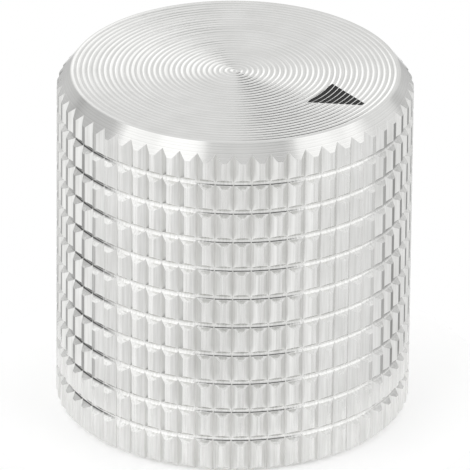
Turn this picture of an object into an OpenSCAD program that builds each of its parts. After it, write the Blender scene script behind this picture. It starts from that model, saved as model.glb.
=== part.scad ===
// Rotary control knob: a turned and knurled aluminium body with a pointer printed on its
// top face and a grub screw that clamps it to a control shaft.
// The axis is +Z, the skirt stands on Z = 0, the pointer shows along +X and the grub screw
// lies along -X.

/* [Body] */
// Diameter over the lands of the knurl
body_d = 20; // [18:0.1:30]
// Height from the skirt to the top face
body_h = 20.2; // [19.6:0.1:30]
// Width of the chamfer round the top face, along the radius
top_chamfer_w = 0.75; // [0.5:0.05:1]
// Height of the chamfer round the top face
top_chamfer_h = 0.95; // [0.5:0.05:1.2]
// Width and height of the chamfer round the bottom edge
bottom_chamfer = 0.4; // [0.2:0.05:0.8]

/* [Knurl] */
// Flutes round the body, cut along the axis
flute_count = 60; // [40:2:64]
// Depth of a flute below the lands
flute_depth = 0.33; // [0.2:0.01:0.4]
// Included angle of the flute cutter
flute_angle = 100; // [80:1:100]
// Distance from one ring groove to the next
groove_pitch = 1.763; // [1.5:0.001:2.5]
// Depth of a ring groove below the lands
groove_depth = 0.3; // [0.2:0.01:0.4]
// Included angle between the walls of a ring groove
groove_angle = 70; // [50:1:90]
// Width of the root between those walls
groove_root = 0.2; // [0.1:0.01:0.3]
// Distance of the first ring groove below the top face
groove_first = 2.3; // [1.8:0.05:3]
// Least height of the plain band under the last ring groove
last_band_min = 1.5; // [1:0.1:3]

/* [Top face] */
// Distance from one turned ring to the next
ring_pitch = 0.31; // [0.25:0.01:0.6]
// Depth of the valley between two turned rings
ring_depth = 0.03; // [0.01:0.005:0.06]

/* [Pointer] */
// Distance of the pointer's tip from the edge of the top face
pointer_inset = 1.03; // [0.3:0.01:3]
// Length of the pointer, from its base to its tip
pointer_l = 2.77; // [1.5:0.01:4]
// Width of the pointer at its base
pointer_w = 2.8; // [1:0.05:5]
// Thickness of the printed ink
ink_t = 0.03; // [0.02:0.005:0.06]

/* [Shaft bore] */
// Diameter of the control shaft
shaft_d = 6; // [4:0.05:6.5]
// Gap between the shaft and the bore, all round
shaft_clearance = 0.05; // [0.03:0.01:0.15]
// Depth of the straight bore above the recess
bore_l = 11.5; // [10:0.1:12]
// Chamfer at the mouth of the bore
bore_chamfer = 0.4; // [0.2:0.05:0.8]
// Included angle of the drill point at the blind end
drill_angle = 118; // [110:1:140]
// Diameter of the recess that clears the nut of the control
recess_d = 14; // [10:0.1:15]
// Depth of the recess above the skirt
recess_h = 4.5; // [4:0.1:5]
// Chamfer at the mouth of the recess
recess_chamfer = 0.3; // [0.1:0.05:0.6]

/* [Grub screw] */
// Nominal thread of the grub screw
screw_d = 3; // [2:0.5:4]
// Length of the grub screw
screw_l = 5; // [3:0.5:6]
// Height of the grub screw above the floor of the recess
screw_rise = 4.5; // [3:0.1:6]
// Gap between the screw and its tapped hole, all round
screw_clearance = 0.05; // [0.02:0.01:0.1]
// How far the point of the backed-off screw stays short of the bore
screw_back = 0.2; // [0.1:0.05:0.5]
// Width across the flats of the hex socket
hex_af = 1.5; // [0.7:0.1:2]
// Depth of the hex socket
hex_depth = 2; // [1:0.1:2.5]
// Chamfer at both ends of the screw
screw_chamfer = 0.4; // [0.1:0.05:0.5]
// Diameter of the cup in the point of the screw
cup_d = 1.5; // [0.5:0.1:1.8]
// Included angle of that cup
cup_angle = 120; // [90:1:140]

/* [Hidden] */
$fn = 96;

// How far a cutting shape runs past the face that it cuts
overrun = 0.2;

body_r = body_d / 2;
face_r = body_r - top_chamfer_w;
ring_count = floor(face_r / ring_pitch - 1 / 2);
flute_step = 360 / flute_count;
groove_count = 1 + floor((body_h - groove_first - last_band_min) / groove_pitch);
bore_r = shaft_d / 2 + shaft_clearance;
recess_r = recess_d / 2;
bore_top = recess_h + bore_l;
drill_point_h = bore_r / tan(drill_angle / 2);
screw_z = recess_h + screw_rise;
hole_r = screw_d / 2;
screw_r = hole_r - screw_clearance;
cup_r = cup_d / 2;
pointer_tip = face_r - pointer_inset;
pointer_base = pointer_tip - pointer_l;

// Top face from its edge to the axis: a narrow flat, then a ridge and a valley for each
// turned ring, and a small tip at the centre
top_points = [
    [face_r, body_h],
    for (i = [ring_count : -1 : 1]) each [
        [i * ring_pitch, body_h],
        [(i - 1 / 2) * ring_pitch, body_h - ring_depth]
    ],
    [0, body_h]
];

// Half width of a V cut at a distance above its root
function v_half(angle, rise) = rise * tan(angle / 2);

// Section of one ring groove, from its lower edge over its root to its upper edge
function groove_points(z) =
    let (edge = groove_root / 2 + v_half(groove_angle, groove_depth + overrun))
    [
        [body_r + overrun, z - edge],
        [body_r - groove_depth, z - groove_root / 2],
        [body_r - groove_depth, z + groove_root / 2],
        [body_r + overrun, z + edge]
    ];

function groove_z(i) = body_h - groove_first - i * groove_pitch;

// Half section of the turned blank, wider than the knurl by the overrun
module turned_section() {
    top_slope = top_chamfer_h / top_chamfer_w;
    polygon([
        [0, 0],
        [body_r - bottom_chamfer, 0],
        [body_r + overrun, bottom_chamfer + overrun],
        for (i = [groove_count - 1 : -1 : 0]) each groove_points(groove_z(i)),
        [body_r + overrun, body_h - top_chamfer_h - overrun * top_slope],
        each top_points
    ]);
}

// Plan of the knurl: a round with V flutes cut into its rim
module fluted_plan() {
    difference() {
        circle(r = body_r);
        for (i = [0 : flute_count - 1]) rotate(i * flute_step)
            polygon([
                [body_r - flute_depth, 0],
                [body_r + overrun, v_half(flute_angle, flute_depth + overrun)],
                [body_r + overrun, -v_half(flute_angle, flute_depth + overrun)]
            ]);
    }
}

// Half section of the nut recess, the shaft bore and its drill point
module bore_section() {
    polygon([
        [0, -overrun],
        [recess_r + recess_chamfer + overrun, -overrun],
        [recess_r, recess_chamfer],
        [recess_r, recess_h],
        [bore_r + bore_chamfer, recess_h],
        [bore_r, recess_h + bore_chamfer],
        [bore_r, bore_top],
        [0, bore_top + drill_point_h]
    ]);
}

// Places its children along the axis of the grub screw, with Z pointing out of the body
module along_screw() {
    translate([0, 0, screw_z]) rotate([0, -90, 0]) children();
}

module knob_body() {
    color([0.82, 0.82, 0.8]) difference() {
        intersection() {
            rotate_extrude() turned_section();
            linear_extrude(body_h + overrun) fluted_plan();
        }
        rotate_extrude() bore_section();
        along_screw() cylinder(r = hole_r, h = body_r + overrun);
    }
}

module pointer_mark() {
    color([0.06, 0.06, 0.06]) intersection() {
        rotate_extrude() polygon([
            each top_points,
            for (i = [len(top_points) - 1 : -1 : 0]) top_points[i] + [0, ink_t]
        ]);
        translate([0, 0, body_h - ring_depth - overrun])
            linear_extrude(ring_depth + ink_t + 2 * overrun) polygon([
                [pointer_base, -pointer_w / 2],
                [pointer_tip, 0],
                [pointer_base, pointer_w / 2]
            ]);
    }
}

module grub_screw() {
    color([0.35, 0.35, 0.36]) along_screw() translate([0, 0, bore_r + screw_back]) difference() {
        rotate_extrude() polygon([
            [0, cup_r / tan(cup_angle / 2)],
            [cup_r, 0],
            [screw_r - screw_chamfer, 0],
            [screw_r, screw_chamfer],
            [screw_r, screw_l - screw_chamfer],
            [screw_r - screw_chamfer, screw_l],
            [0, screw_l]
        ]);
        translate([0, 0, screw_l - hex_depth])
            cylinder(d = hex_af / cos(30), h = hex_depth + overrun, $fn = 6);
    }
}

knob_body();
pointer_mark();
grub_screw();
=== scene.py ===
import math

import bmesh
import bpy
from mathutils import Matrix, Vector


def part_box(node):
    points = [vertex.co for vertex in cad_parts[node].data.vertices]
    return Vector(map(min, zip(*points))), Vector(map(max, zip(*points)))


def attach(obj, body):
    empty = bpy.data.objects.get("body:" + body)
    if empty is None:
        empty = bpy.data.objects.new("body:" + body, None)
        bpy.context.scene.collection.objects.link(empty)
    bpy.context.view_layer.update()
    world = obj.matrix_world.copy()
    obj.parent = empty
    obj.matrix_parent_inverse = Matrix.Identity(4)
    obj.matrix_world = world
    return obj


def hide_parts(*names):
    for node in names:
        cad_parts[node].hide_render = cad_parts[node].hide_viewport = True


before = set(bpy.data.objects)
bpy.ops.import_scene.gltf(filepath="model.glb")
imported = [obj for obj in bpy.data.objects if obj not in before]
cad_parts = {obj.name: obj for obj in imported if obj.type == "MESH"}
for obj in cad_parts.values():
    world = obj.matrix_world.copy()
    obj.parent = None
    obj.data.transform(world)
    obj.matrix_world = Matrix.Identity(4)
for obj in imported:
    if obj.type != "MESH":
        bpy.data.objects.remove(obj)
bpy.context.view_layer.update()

scene = bpy.context.scene
scene.view_settings.view_transform = "Standard"

# Camera: a long lens that looks down on the knob from its front right, as for a catalogue.
# The pointer then shows to the right and towards the viewer.
mm = 0.001
picture_px = 470
focal_px = 10396
sensor_width = 36
near_clip = 10 * mm
camera_azimuth = math.radians(30.23)
camera_elevation = math.radians(26.39)
camera_roll = math.radians(0.577)
camera_distance = 586 * mm
aim_height = 10 * mm
aim_right = 0.065 * mm
aim_up = -0.053 * mm

camera_data = bpy.data.cameras.new("camera")
camera_data.sensor_width = sensor_width
camera_data.lens = sensor_width * focal_px / picture_px
camera_data.clip_start = near_clip
camera = bpy.data.objects.new("camera", camera_data)
scene.collection.objects.link(camera)
camera_turn = (
    Matrix.Rotation(camera_azimuth, 4, "Z")
    @ Matrix.Rotation(math.pi / 2 - camera_elevation, 4, "X")
)
camera_offset = camera_turn @ Vector((aim_right, aim_up, camera_distance))
camera.matrix_world = (
    Matrix.Translation(camera_offset + Vector((0, 0, aim_height)))
    @ camera_turn
    @ Matrix.Rotation(camera_roll, 4, "Z")
)
scene.camera = camera

# Knob body: one bar of bright aluminium, turned with a round-nosed tool that leaves fine rings on
# the top face. Sixty V flutes along the axis and ten ring grooves cut its rim into a knurl, and it
# is bored from below for the shaft and the nut of the control.
top_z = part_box("knob_body")[1].z
land_r = 10 * mm
face_r = 9.25 * mm
rim_flat = 0.05 * mm
top_chamfer_h = 0.95 * mm
bottom_chamfer = 0.4 * mm
flute_count = 60
flute_depth = 0.317 * mm
flute_angle = math.radians(100)
groove_count = 10
groove_pitch = 1.763 * mm
groove_first = 2.3 * mm
groove_depth = 0.319 * mm
groove_nose = 0.2 * mm
groove_slope = math.radians(35)
ring_count = 30
ring_depth = 0.0135 * mm
valley_share = 1 / 3
recess_r = 7 * mm
recess_h = 4.5 * mm
recess_chamfer = 0.3 * mm
bore_r = 3.05 * mm
bore_chamfer = 0.4 * mm
bore_top = 16 * mm
drill_half_angle = math.radians(59)
screw_z = 9 * mm
screw_end = 8.25 * mm
hole_r = 1.5 * mm
thread_lead = 0.1 * mm
thread_pitch = 0.5 * mm
thread_depth = 0.27 * mm

# Steps of the mesh: on the arc of a tooth, across it, round a groove's root, over a ring and round the tap
land_points = 4
sector_steps = 3
nose_steps = 8
ring_steps = 6
tap_steps = 48
sharp_angle = math.radians(15)
weld = 0.002 * mm

centre = (0, 0, 0)
axis = (0, 0, 1)
foot_r = land_r - bottom_chamfer
ring_pitch = (face_r - rim_flat) / ring_count
chamfer_slope = top_chamfer_h / (land_r - face_r)
tooth_turn = 2 * math.pi / flute_count
tooth_half = tooth_turn / 2
flute_bottom = Matrix.Rotation(-tooth_half, 3, "Z") @ Vector((land_r - flute_depth, 0, 0))
wall_way = Matrix.Rotation(flute_angle / 2 - tooth_half, 3, "Z") @ Vector((1, 0, 0))


def up_the_wall(radius):
    """The point of a flute's wall at this distance from the axis."""
    along = flute_bottom.dot(wall_way)
    reach = math.sqrt(along**2 - flute_bottom.length_squared + radius**2) - along
    return flute_bottom + wall_way * reach


def top_chamfer_z(point):
    """Height of the upper chamfer at this point of the plan."""
    return top_z - (point.xy.length - face_r) * chamfer_slope


def bottom_chamfer_z(point):
    """Height of the lower chamfer at this point of the plan."""
    return point.xy.length - foot_r


def grow_row(mesh, edges):
    """Extrudes a row of edges in place and gives the new row's edges and vertices, along +Y."""
    grown = bmesh.ops.extrude_edge_only(mesh, edges=edges)["geom"]
    verts = [part for part in grown if isinstance(part, bmesh.types.BMVert)]
    verts.sort(key=lambda vert: vert.co.y)
    inside = set(verts)
    new_edges = [
        part for part in grown
        if isinstance(part, bmesh.types.BMEdge) and inside.issuperset(part.verts)
    ]
    return new_edges, verts


def place_row(verts, radius, level):
    """Lays a row across the tooth: up one flute wall, along an arc and down the next wall.
    Deeper than the flutes, the row is one even arc."""
    end_r = min(radius, flute_bottom.length)
    half_turn = tooth_half * (land_points - 1) / (land_points + 1)
    if radius > end_r:
        corner = up_the_wall(radius)
        half_turn = math.atan2(-corner.y, corner.x)
    verts[0].co = (end_r * math.cos(tooth_half), -end_r * math.sin(tooth_half), level)
    verts[-1].co = (end_r * math.cos(tooth_half), end_r * math.sin(tooth_half), level)
    for place, vert in enumerate(verts[1:-1]):
        turn = half_turn * (2 * place / (land_points - 1) - 1)
        vert.co = (radius * math.cos(turn), radius * math.sin(turn), level)


def spread_row(verts, radius, level):
    """Gathers a row into the even steps of the turned faces."""
    for place, vert in enumerate(verts):
        step = round(place * sector_steps / (len(verts) - 1))
        turn = (2 * step / sector_steps - 1) * tooth_half
        vert.co = (radius * math.cos(turn), radius * math.sin(turn), level)


def link_chain(mesh, points):
    """Makes a row of points and the edges between them."""
    verts = [mesh.verts.new(point) for point in points]
    edges = [mesh.edges.new(pair) for pair in zip(verts, verts[1:])]
    return verts, edges


def turn_sector(mesh, section):
    """Spins a half section, given as (radius, height) points, over one step of the knurl."""
    verts, edges = link_chain(mesh, [(radius, 0, level) for radius, level in section])
    start = Matrix.Rotation(-tooth_half, 3, "Z")
    bmesh.ops.rotate(mesh, verts=verts, cent=centre, matrix=start)
    bmesh.ops.spin(
        mesh, geom=verts + edges, cent=centre, axis=axis, angle=tooth_turn, steps=sector_steps
    )


# Section of a ring groove from its lower to its upper edge: straight walls and a round root
nose_middle = land_r - groove_depth + groove_nose
nose_turn = math.pi / 2 - groove_slope
wall_reach = groove_depth - groove_nose * (1 - math.sin(groove_slope))
groove_half = groove_nose * math.cos(groove_slope) + wall_reach * math.tan(groove_slope)
groove_section = [(land_r, -groove_half)]
for step in range(nose_steps + 1):
    turn = nose_turn * (2 * step / nose_steps - 1)
    groove_section.append((nose_middle - groove_nose * math.cos(turn), groove_nose * math.sin(turn)))
groove_section.append((land_r, groove_half))

# One tooth of the knurl from the bottom to the top, centred on +X
knob = bmesh.new()
row, first_edges = link_chain(knob, [centre] * (land_points + 2))
place_row(row, land_r, 0)
for vert in row:
    vert.co.z = bottom_chamfer_z(vert.co)
edges = first_edges
for groove in reversed(range(groove_count)):
    groove_z = top_z - groove_first - groove * groove_pitch
    for radius, offset in groove_section:
        edges, row = grow_row(knob, edges)
        place_row(row, radius, groove_z + offset)
edges, row = grow_row(knob, edges)
place_row(row, land_r, 0)
for vert in row:
    vert.co.z = top_chamfer_z(vert.co)

# The chamfers close the tooth towards the top face and the bottom
edges, row = grow_row(knob, edges)
for vert in row:
    vert.co.xy = vert.co.xy.normalized() * face_r
    vert.co.z = top_z
edges, row = grow_row(knob, edges)
spread_row(row, face_r - rim_flat, top_z)
edges, row = grow_row(knob, first_edges)
spread_row(row, foot_r, 0)


def ring_dip(radius):
    """Depth of the turned rings at a place on the top face: 0 on a ridge and 1 in a valley."""
    share = radius / ring_pitch % 1
    flank = valley_share if share < valley_share else 1 - valley_share
    return 1 - ((share - valley_share) / flank) ** 2


# The turned rings of the top face, each a shallow valley with its steep side towards the axis
top_section = []
for step in range(ring_count * ring_steps, 0, -1):
    radius = step * ring_pitch / ring_steps
    top_section.append((radius, top_z - ring_depth * ring_dip(radius)))
turn_sector(knob, top_section + [(0, top_z)])

# The underside: the foot, the nut recess, the shaft bore and its drill point
turn_sector(knob, [
    (foot_r, 0),
    (recess_r + recess_chamfer, 0),
    (recess_r, recess_chamfer),
    (recess_r, recess_h),
    (bore_r + bore_chamfer, recess_h),
    (bore_r, recess_h + bore_chamfer),
    (bore_r, bore_top),
    (0, bore_top + bore_r / math.tan(drill_half_angle)),
])

# All sixty teeth, with a flute on +X under the pointer
bmesh.ops.rotate(knob, verts=knob.verts, cent=centre, matrix=Matrix.Rotation(tooth_half, 3, "Z"))
bmesh.ops.spin(
    knob,
    geom=knob.verts[:] + knob.edges[:] + knob.faces[:],
    cent=centre,
    axis=axis,
    angle=tooth_turn * (flute_count - 1),
    steps=flute_count - 1,
    use_duplicate=True,
)
bmesh.ops.remove_doubles(knob, verts=knob.verts, dist=weld)
bmesh.ops.recalc_face_normals(knob, faces=knob.faces)


def smooth_but_sharp(data):
    """Shades a mesh smooth but for its sharp edges."""
    data.shade_smooth()
    data.set_sharp_from_angle(angle=sharp_angle)


def mesh_object(name, mesh):
    """Makes an object of a bmesh."""
    data = bpy.data.meshes.new(name)
    mesh.to_mesh(data)
    mesh.free()
    smooth_but_sharp(data)
    made = bpy.data.objects.new(name, data)
    scene.collection.objects.link(made)
    return made


knob_piece = mesh_object("knob_body_turned", knob)

# The tapped hole of the grub screw on -X, with its thread showing outside the screw. The tap that cuts
# it is turned by half a step, so that none of its corners lies on an edge of the knob.
tap = bmesh.new()
thread_start = screw_end + thread_lead
thread_turns = math.ceil((land_r - thread_start) / thread_pitch)
tap_section = [(0, 0), (hole_r, 0), (hole_r, thread_start)]
for turn in range(thread_turns):
    crest = thread_start + (turn + 1 / 2) * thread_pitch
    tap_section += [(hole_r - thread_depth, crest), (hole_r, crest + thread_pitch / 2)]
tap_section.append((0, tap_section[-1][1]))
verts, edges = link_chain(tap, [(-reach, 0, screw_z + radius) for radius, reach in tap_section])
hole_centre = (0, 0, screw_z)
half_step = Matrix.Rotation(math.pi / tap_steps, 3, "X")
bmesh.ops.rotate(tap, verts=verts, cent=hole_centre, matrix=half_step)
bmesh.ops.spin(
    tap,
    geom=verts + edges,
    cent=hole_centre,
    axis=(1, 0, 0),
    angle=2 * math.pi,
    steps=tap_steps,
    use_merge=True,
)
bmesh.ops.remove_doubles(tap, verts=tap.verts, dist=weld)
bmesh.ops.recalc_face_normals(tap, faces=tap.faces)
tap_tool = mesh_object("tap_tool", tap)
cut = knob_piece.modifiers.new("tapped_hole", "BOOLEAN")
cut.operation = "DIFFERENCE"
cut.solver = "MANIFOLD"
cut.object = tap_tool
depsgraph = bpy.context.evaluated_depsgraph_get()
bored = bpy.data.meshes.new_from_object(knob_piece.evaluated_get(depsgraph))
knob_piece.modifiers.clear()
knob_piece.data = bored
smooth_but_sharp(bored)
bpy.data.objects.remove(tap_tool)


class Wire:
    """One value in a material's nodes. An expression on it adds the Math nodes that it needs."""

    def __init__(self, socket):
        self.socket = socket

    def node(self, kind, inputs, out=0, stops=None, **settings):
        """Adds any other node to the same material and gives one of its outputs."""
        tree = self.socket.id_data
        made = tree.nodes.new(kind)
        for name, value in settings.items():
            setattr(made, name, value)
        for place, (position, shade) in enumerate(stops or []):
            elements = made.color_ramp.elements
            element = elements[place] if place < len(elements) else elements.new(position)
            element.position = position
            element.color = (*shade, 1)
        for key, value in inputs.items():
            if isinstance(value, Wire):
                tree.links.new(value.socket, made.inputs[key])
            else:
                made.inputs[key].default_value = value
        return Wire(made.outputs[out])

    def parts(self):
        """The three parts of a vector."""
        return [self.node("ShaderNodeSeparateXYZ", {0: self}, out=part) for part in "XYZ"]

    def math(self, operation, *others):
        return self.node("ShaderNodeMath", dict(enumerate((self, *others))), operation=operation)

    def __add__(self, other):
        return self.math("ADD", other)

    __radd__ = __add__

    def __mul__(self, other):
        return self.math("MULTIPLY", other)

    __rmul__ = __mul__

    def __sub__(self, other):
        return self.math("SUBTRACT", other)

    def __rsub__(self, other):
        return self.node("ShaderNodeMath", {0: other, 1: self}, operation="SUBTRACT")

    def __truediv__(self, other):
        return self.math("DIVIDE", other)

    def __gt__(self, other):
        return self.math("GREATER_THAN", other)

    def __lt__(self, other):
        return self.math("LESS_THAN", other)


def new_finish(name):
    """A material with a plain shader, and the place on the piece in millimetres."""
    material = bpy.data.materials.new(name)
    material.use_nodes = True
    nodes = material.node_tree.nodes
    place = Wire(nodes.new("ShaderNodeTexCoord").outputs["Object"])
    place = place.node("ShaderNodeVectorMath", {0: place, "Scale": 1 / mm}, operation="SCALE")
    return material, nodes["Principled BSDF"], place


def feed(shader, name, wire):
    """Links a value to an input of the shader."""
    shader.id_data.links.new(wire.socket, shader.inputs[name])


# Its finish: fine tool lines on all turned faces, drawn streaks along the teeth, a little cloudiness,
# and flute walls that are duller than the rest
aluminium_shades = [(0.32, (0.7, 0.7, 0.684)), (0.68, (0.86, 0.86, 0.848))]
streaks_per_mm = (9, 9, 0.35)
lines_per_mm = 11
line_lean = 0.8
line_contrast = 0.5
clouds_per_mm = 0.6
cloud_share = 0.3
bright_roughness = 0.1
tone_roughness = 0.1
flute_roughness = 0.16
line_depth = 0.004 * mm
face_margin = 0.03 * mm
foot_margin = 0.02 * mm
wall_margin = 0.01 * mm

aluminium, shader, place = new_finish("turned_aluminium")
x, y, z = place.parts()
from_axis = (x * x + y * y).math("SQRT")
stretched = place.node("ShaderNodeMapping", {"Vector": place, "Scale": streaks_per_mm})
streaks = place.node("ShaderNodeTexNoise", {"Vector": stretched, "Scale": 1, "Detail": 2})
tool_path = (from_axis - line_lean * z) * lines_per_mm
tool_lines = place.node(
    "ShaderNodeTexNoise", {"W": tool_path, "Scale": 1, "Detail": 1}, noise_dimensions="1D"
)
tool_lines = tool_lines * line_contrast + (1 - line_contrast) / 2
clouds = place.node("ShaderNodeTexNoise", {"Vector": place, "Scale": clouds_per_mm, "Detail": 3})

# The top face with its chamfer, and all that lies inside the foot, show the tool lines
cone_level = z + (from_axis - face_r / mm) * chamfer_slope
on_top = cone_level.math("MAXIMUM", z) > (top_z - face_margin) / mm
turned = on_top.math("MAXIMUM", from_axis < (foot_r + foot_margin) / mm)
lines = streaks + turned * (tool_lines - streaks)
tone = lines * (1 - cloud_share) + clouds * cloud_share
feed(shader, "Base Color", tone.node("ShaderNodeValToRGB", {0: tone}, stops=aluminium_shades))
teeth_round = y.math("ARCTAN2", x) / tooth_turn
flute_turn = (teeth_round - teeth_round.math("ROUND")).math("ABSOLUTE") * tooth_turn
wall_rise = from_axis - (land_r - flute_depth) / mm
in_flute = flute_turn * from_axis < wall_rise * math.tan(flute_angle / 2) + wall_margin / mm
feed(shader, "Roughness", bright_roughness + tone_roughness * tone + flute_roughness * in_flute)
bump = lines.node("ShaderNodeBump", {"Height": lines, "Strength": 1, "Distance": line_depth})
feed(shader, "Normal", bump)
shader.inputs["Metallic"].default_value = 1
knob_piece.data.materials.clear()
knob_piece.data.materials.append(aluminium)
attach(knob_piece, "root")
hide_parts("knob_body")

# Grub screw: a short hex-socket screw of dark oxidised steel on -X, backed off from the bore.
# Its solid stays as it is, since the thread is hidden in the tapped hole.
steel_shades = [(0.35, (0.1, 0.1, 0.106)), (0.7, (0.2, 0.2, 0.208))]
steel_grains_per_mm = 5
steel_roughness = (0.25, 0.5)


def grainy_finish(name, grains_per_mm, shades, roughness):
    """A material with a fine grain in its colour and in its roughness."""
    material, shader, place = new_finish(name)
    grain = place.node("ShaderNodeTexNoise", {"Vector": place, "Scale": grains_per_mm, "Detail": 3})
    feed(shader, "Base Color", grain.node("ShaderNodeValToRGB", {0: grain}, stops=shades))
    least, most = roughness
    feed(shader, "Roughness", least + (most - least) * grain)
    return material, shader


steel, shader = grainy_finish("screw_steel", steel_grains_per_mm, steel_shades, steel_roughness)
shader.inputs["Metallic"].default_value = 1
screw_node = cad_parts["grub_screw"]
screw_node.data.materials.clear()
screw_node.data.materials.append(steel)

# Pointer: a black triangle printed on the top face along +X. The ink fills the valleys of the turned
# rings, and the ridges between them stay bright. It ends at the last ridge before the point where its
# sides would meet.
pointer_base = 5.45 * mm
pointer_meet = 8.54 * mm
pointer_half = 1.4 * mm
ridge_clear = 0.0019 * mm
ink_follow = 0.45
ink_under = 0.03 * mm
ink_turn = math.radians(16)
ink_steps = 32
cut_margin = weld / 10
ink_shades = [(0.3, (0.006, 0.006, 0.006)), (0.7, (0.02, 0.02, 0.02))]
ink_grains_per_mm = 8
ink_roughness = (0.4, 0.7)
ink_shine = 0.2

ink = bmesh.new()
first_step = math.floor(pointer_base / ring_pitch) * ring_steps
last_step = math.floor(pointer_meet / ring_pitch) * ring_steps
ink_section = []
for step in range(first_step, last_step + 1):
    radius = step * ring_pitch / ring_steps
    level = top_z - ridge_clear - ink_follow * ring_depth * ring_dip(radius)
    ink_section.append((radius * math.cos(ink_turn), -radius * math.sin(ink_turn), level))
verts, edges = link_chain(ink, ink_section)
bmesh.ops.spin(
    ink, geom=verts + edges, cent=centre, axis=axis, angle=2 * ink_turn, steps=ink_steps
)
side_way = Vector((pointer_half, pointer_meet - pointer_base, 0)).normalized()
sides = [
    ((pointer_base, 0, 0), (-1, 0, 0)),
    ((pointer_meet, 0, 0), side_way),
    ((pointer_meet, 0, 0), Vector((side_way.x, -side_way.y, 0))),
]
for point, outward in sides:
    bmesh.ops.bisect_plane(
        ink,
        geom=ink.verts[:] + ink.edges[:] + ink.faces[:],
        dist=cut_margin,
        plane_co=point,
        plane_no=outward,
        clear_outer=True,
    )
bmesh.ops.remove_doubles(ink, verts=ink.verts, dist=weld)
sunk = bmesh.ops.extrude_face_region(ink, geom=ink.faces[:])["geom"]
for part in sunk:
    if isinstance(part, bmesh.types.BMVert):
        part.co.z = top_z - ring_depth - ink_under
bmesh.ops.recalc_face_normals(ink, faces=ink.faces)
pointer_piece = mesh_object("pointer_ink", ink)

black_ink, shader = grainy_finish("black_ink", ink_grains_per_mm, ink_shades, ink_roughness)
shader.inputs["Specular IOR Level"].default_value = ink_shine
pointer_piece.data.materials.append(black_ink)
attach(pointer_piece, "root")
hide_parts("pointer_mark")

# Stand: a small round of matt white board under the knob. It glows a little where the camera or a
# reflection sees it, so that it shows as white as the backdrop and still keeps the knob's shadow.
stand_r = 15 * mm
stand_corners = 96
board_white = (0.95, 0.95, 0.95, 1)
board_roughness = 0.9
board_glow = 0.28
board_glow_rays = ["Is Camera Ray", "Is Glossy Ray", "Is Transmission Ray"]

stand_mesh = bmesh.new()
bmesh.ops.create_circle(stand_mesh, cap_ends=True, segments=stand_corners, radius=stand_r)
stand = mesh_object("round_stand", stand_mesh)
white_board, shader, place = new_finish("white_board")
shader.inputs["Base Color"].default_value = board_white
shader.inputs["Roughness"].default_value = board_roughness
shader.inputs["Specular IOR Level"].default_value = 0
seen = sum(place.node("ShaderNodeLightPath", {}, out=ray) for ray in board_glow_rays)
feed(shader, "Emission Color", seen * board_glow)
shader.inputs["Emission Strength"].default_value = 1
stand.data.materials.append(white_board)

# Studio: a pale room that lights the knob with soft panels and dark cards. Each is placed by degrees to
# the right, counted from the camera or from straight behind the knob, and by degrees upwards.
room_level = 0.62
ceiling_gain = 0.3
ceiling_from = 64
ceiling_soft = 12

studio = bpy.data.worlds.new("studio")
scene.world = studio
studio.use_nodes = True
studio_nodes = studio.node_tree.nodes
way = Wire(studio_nodes.new("ShaderNodeTexCoord").outputs["Generated"])
east, north, up = way.parts()
right_part = east * math.cos(camera_azimuth) + north * math.sin(camera_azimuth)
camera_part = east * math.sin(camera_azimuth) - north * math.cos(camera_azimuth)
from_camera = right_part.math("ARCTAN2", camera_part).math("DEGREES")
from_back = right_part.math("ARCTAN2", 0 - camera_part).math("DEGREES")
rise = up.math("ARCSINE").math("DEGREES")


def ramp_up(value, middle, soft):
    """Goes from 0 to 1 round the middle, over the soft width."""
    ends = {"Value": value, "From Min": middle - soft / 2, "From Max": middle + soft / 2}
    return value.node("ShaderNodeMapRange", ends, interpolation_type="SMOOTHSTEP")


def soft_panel(light, bearing, left, right, low, high, soft, level):
    """Lays a panel of this brightness over the light, between these angles."""
    across = ramp_up(bearing, left, soft) * (1 - ramp_up(bearing, right, soft))
    upward = ramp_up(rise, low, soft) * (1 - ramp_up(rise, high, soft))
    return light + across * upward * (level - light)


light = room_level + ramp_up(rise, ceiling_from, ceiling_soft) * ceiling_gain

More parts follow.
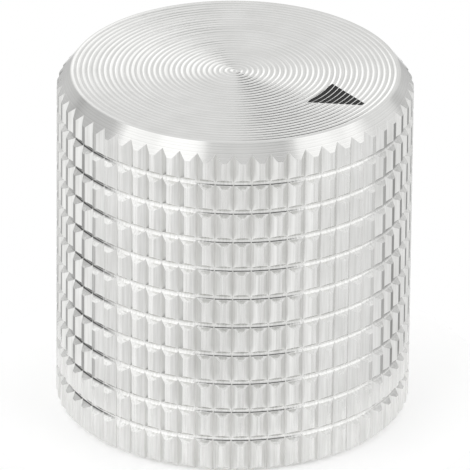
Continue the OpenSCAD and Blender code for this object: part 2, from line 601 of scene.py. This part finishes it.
# The ground in front of the knob, brighter on the left, and the wall behind the knob
light = soft_panel(light, from_camera, left=-112, right=100, low=-80, high=2, soft=30, level=0.9)
light = soft_panel(light, from_camera, left=-84, right=-22, low=-80, high=2, soft=30, level=1.05)
light = soft_panel(light, from_back, left=-40, right=40, low=2, high=60, soft=24, level=0.84)

# The panel over the camera and the dark place of the camera itself
light = soft_panel(light, from_camera, left=-40, right=54, low=42, high=64, soft=8, level=0.82)
light = soft_panel(light, from_camera, left=-20, right=41, low=18, high=45, soft=8, level=0.06)

# The left lamp, its upper and its lower half
light = soft_panel(light, from_camera, left=-87, right=-25, low=22, high=56, soft=10, level=1.3)
light = soft_panel(light, from_camera, left=-78, right=-26, low=-18, high=32, soft=10, level=1.25)

# The right lamp, its upper and its lower half, and a dimmer panel beside it
light = soft_panel(light, from_camera, left=48, right=104, low=24, high=54, soft=8, level=1.2)
light = soft_panel(light, from_camera, left=43, right=98, low=-18, high=34, soft=10, level=1.22)
light = soft_panel(light, from_camera, left=96, right=128, low=8, high=30, soft=10, level=0.88)

# A dark card on the far left, for the dark lines of the knurl there
light = soft_panel(light, from_camera, left=-124, right=-86, low=-20, high=13, soft=8, level=0.06)

# The top lights on the left, on the right and behind
light = soft_panel(light, from_camera, left=-132, right=-60, low=38, high=78, soft=8, level=1.15)
light = soft_panel(light, from_camera, left=80, right=140, low=36, high=76, soft=8, level=0.95)
light = soft_panel(light, from_back, left=-62, right=62, low=62, high=88, soft=8, level=1.1)

# A narrow panel and a dark card behind the knob, for the rings of the top face
light = soft_panel(light, from_back, left=2, right=21, low=22, high=36, soft=5, level=1.4)
light = soft_panel(light, from_back, left=2, right=22, low=36, high=58, soft=3, level=0.06)

# The dim ground behind the knob on both sides, and the white backdrop that the camera sees
light = soft_panel(light, from_back, left=10, right=66, low=-80, high=-16, soft=14, level=0.35)
light = soft_panel(light, from_back, left=-78, right=-10, low=-80, high=-18, soft=14, level=0.45)
light = soft_panel(light, from_back, left=-9, right=9, low=-40, high=-16, soft=6, level=1)
surround = light.node("ShaderNodeBackground", {"Color": (1, 1, 1, 1), "Strength": light})
studio.node_tree.links.new(surround.socket, studio_nodes["World Output"].inputs["Surface"])
